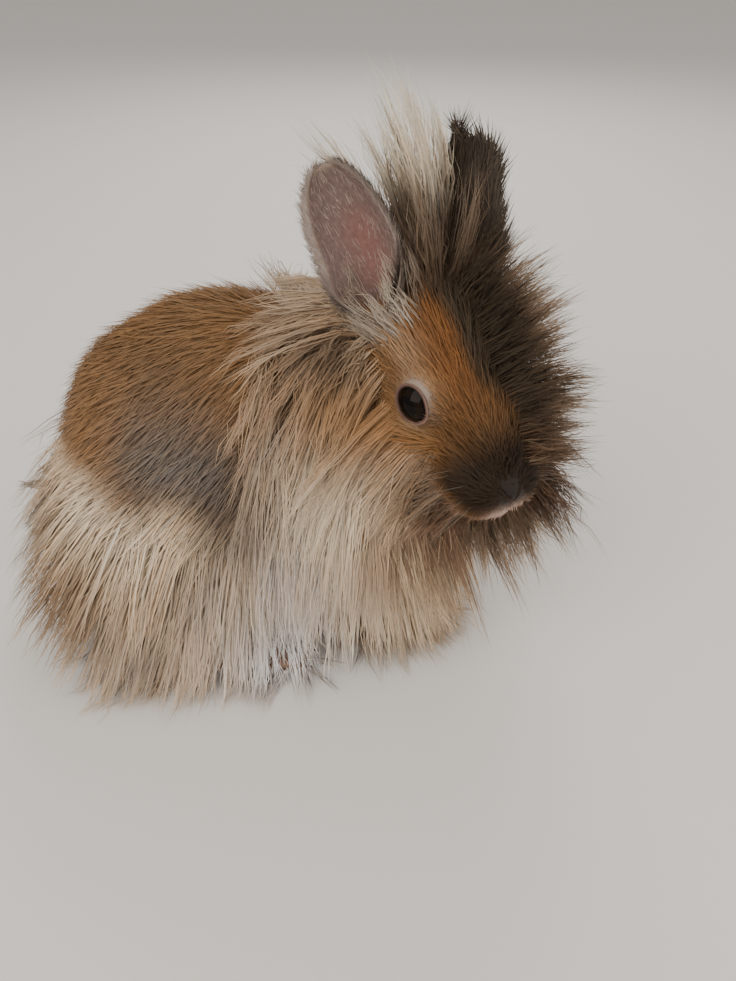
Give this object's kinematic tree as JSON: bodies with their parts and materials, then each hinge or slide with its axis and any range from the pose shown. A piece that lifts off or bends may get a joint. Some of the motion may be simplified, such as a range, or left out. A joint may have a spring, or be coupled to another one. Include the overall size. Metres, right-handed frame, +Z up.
{
  "type": "lionhead rabbit",
  "caption": "Life-size still model of a lionhead rabbit crouched on its feet, with its head turned to its right, erect ears, and a woolly mane, forelock and skirt.",
  "frame": {"origin": "on the floor, under the middle of the whole model", "axes": "+X forwards along the body, +Y the rabbit's left, +Z up"},
  "size_m": [0.2776, 0.183, 0.2646],
  "materials": {
    "back_coat": "short golden-brown fur with dark ticking",
    "mane_coat": "long, soft cream and buff wool streaked with grey",
    "face_coat": "short golden-brown fur, near black on the muzzle",
    "skirt_coat": "long, soft peach and cream wool, grey at the floor",
    "paw_coat": "short brown fur",
    "ear_skin": "mauve-pink skin inside, dark brown fur outside",
    "eye": "near-black, wet and glossy"
  },
  "bodies": {
    "root": {"torso": "back_coat", "neck": "mane_coat", "head": "face_coat", "tail": "skirt_coat", "ear_left": "ear_skin", "eye_left": "eye", "foreleg_left": "paw_coat", "forepaw_left": "paw_coat", "hindleg_left": "skirt_coat", "hindfoot_left": "paw_coat", "ear_right": "ear_skin", "eye_right": "eye", "foreleg_right": "paw_coat", "forepaw_right": "paw_coat", "hindleg_right": "skirt_coat", "hindfoot_right": "paw_coat"}
  },
  "joints": []
}
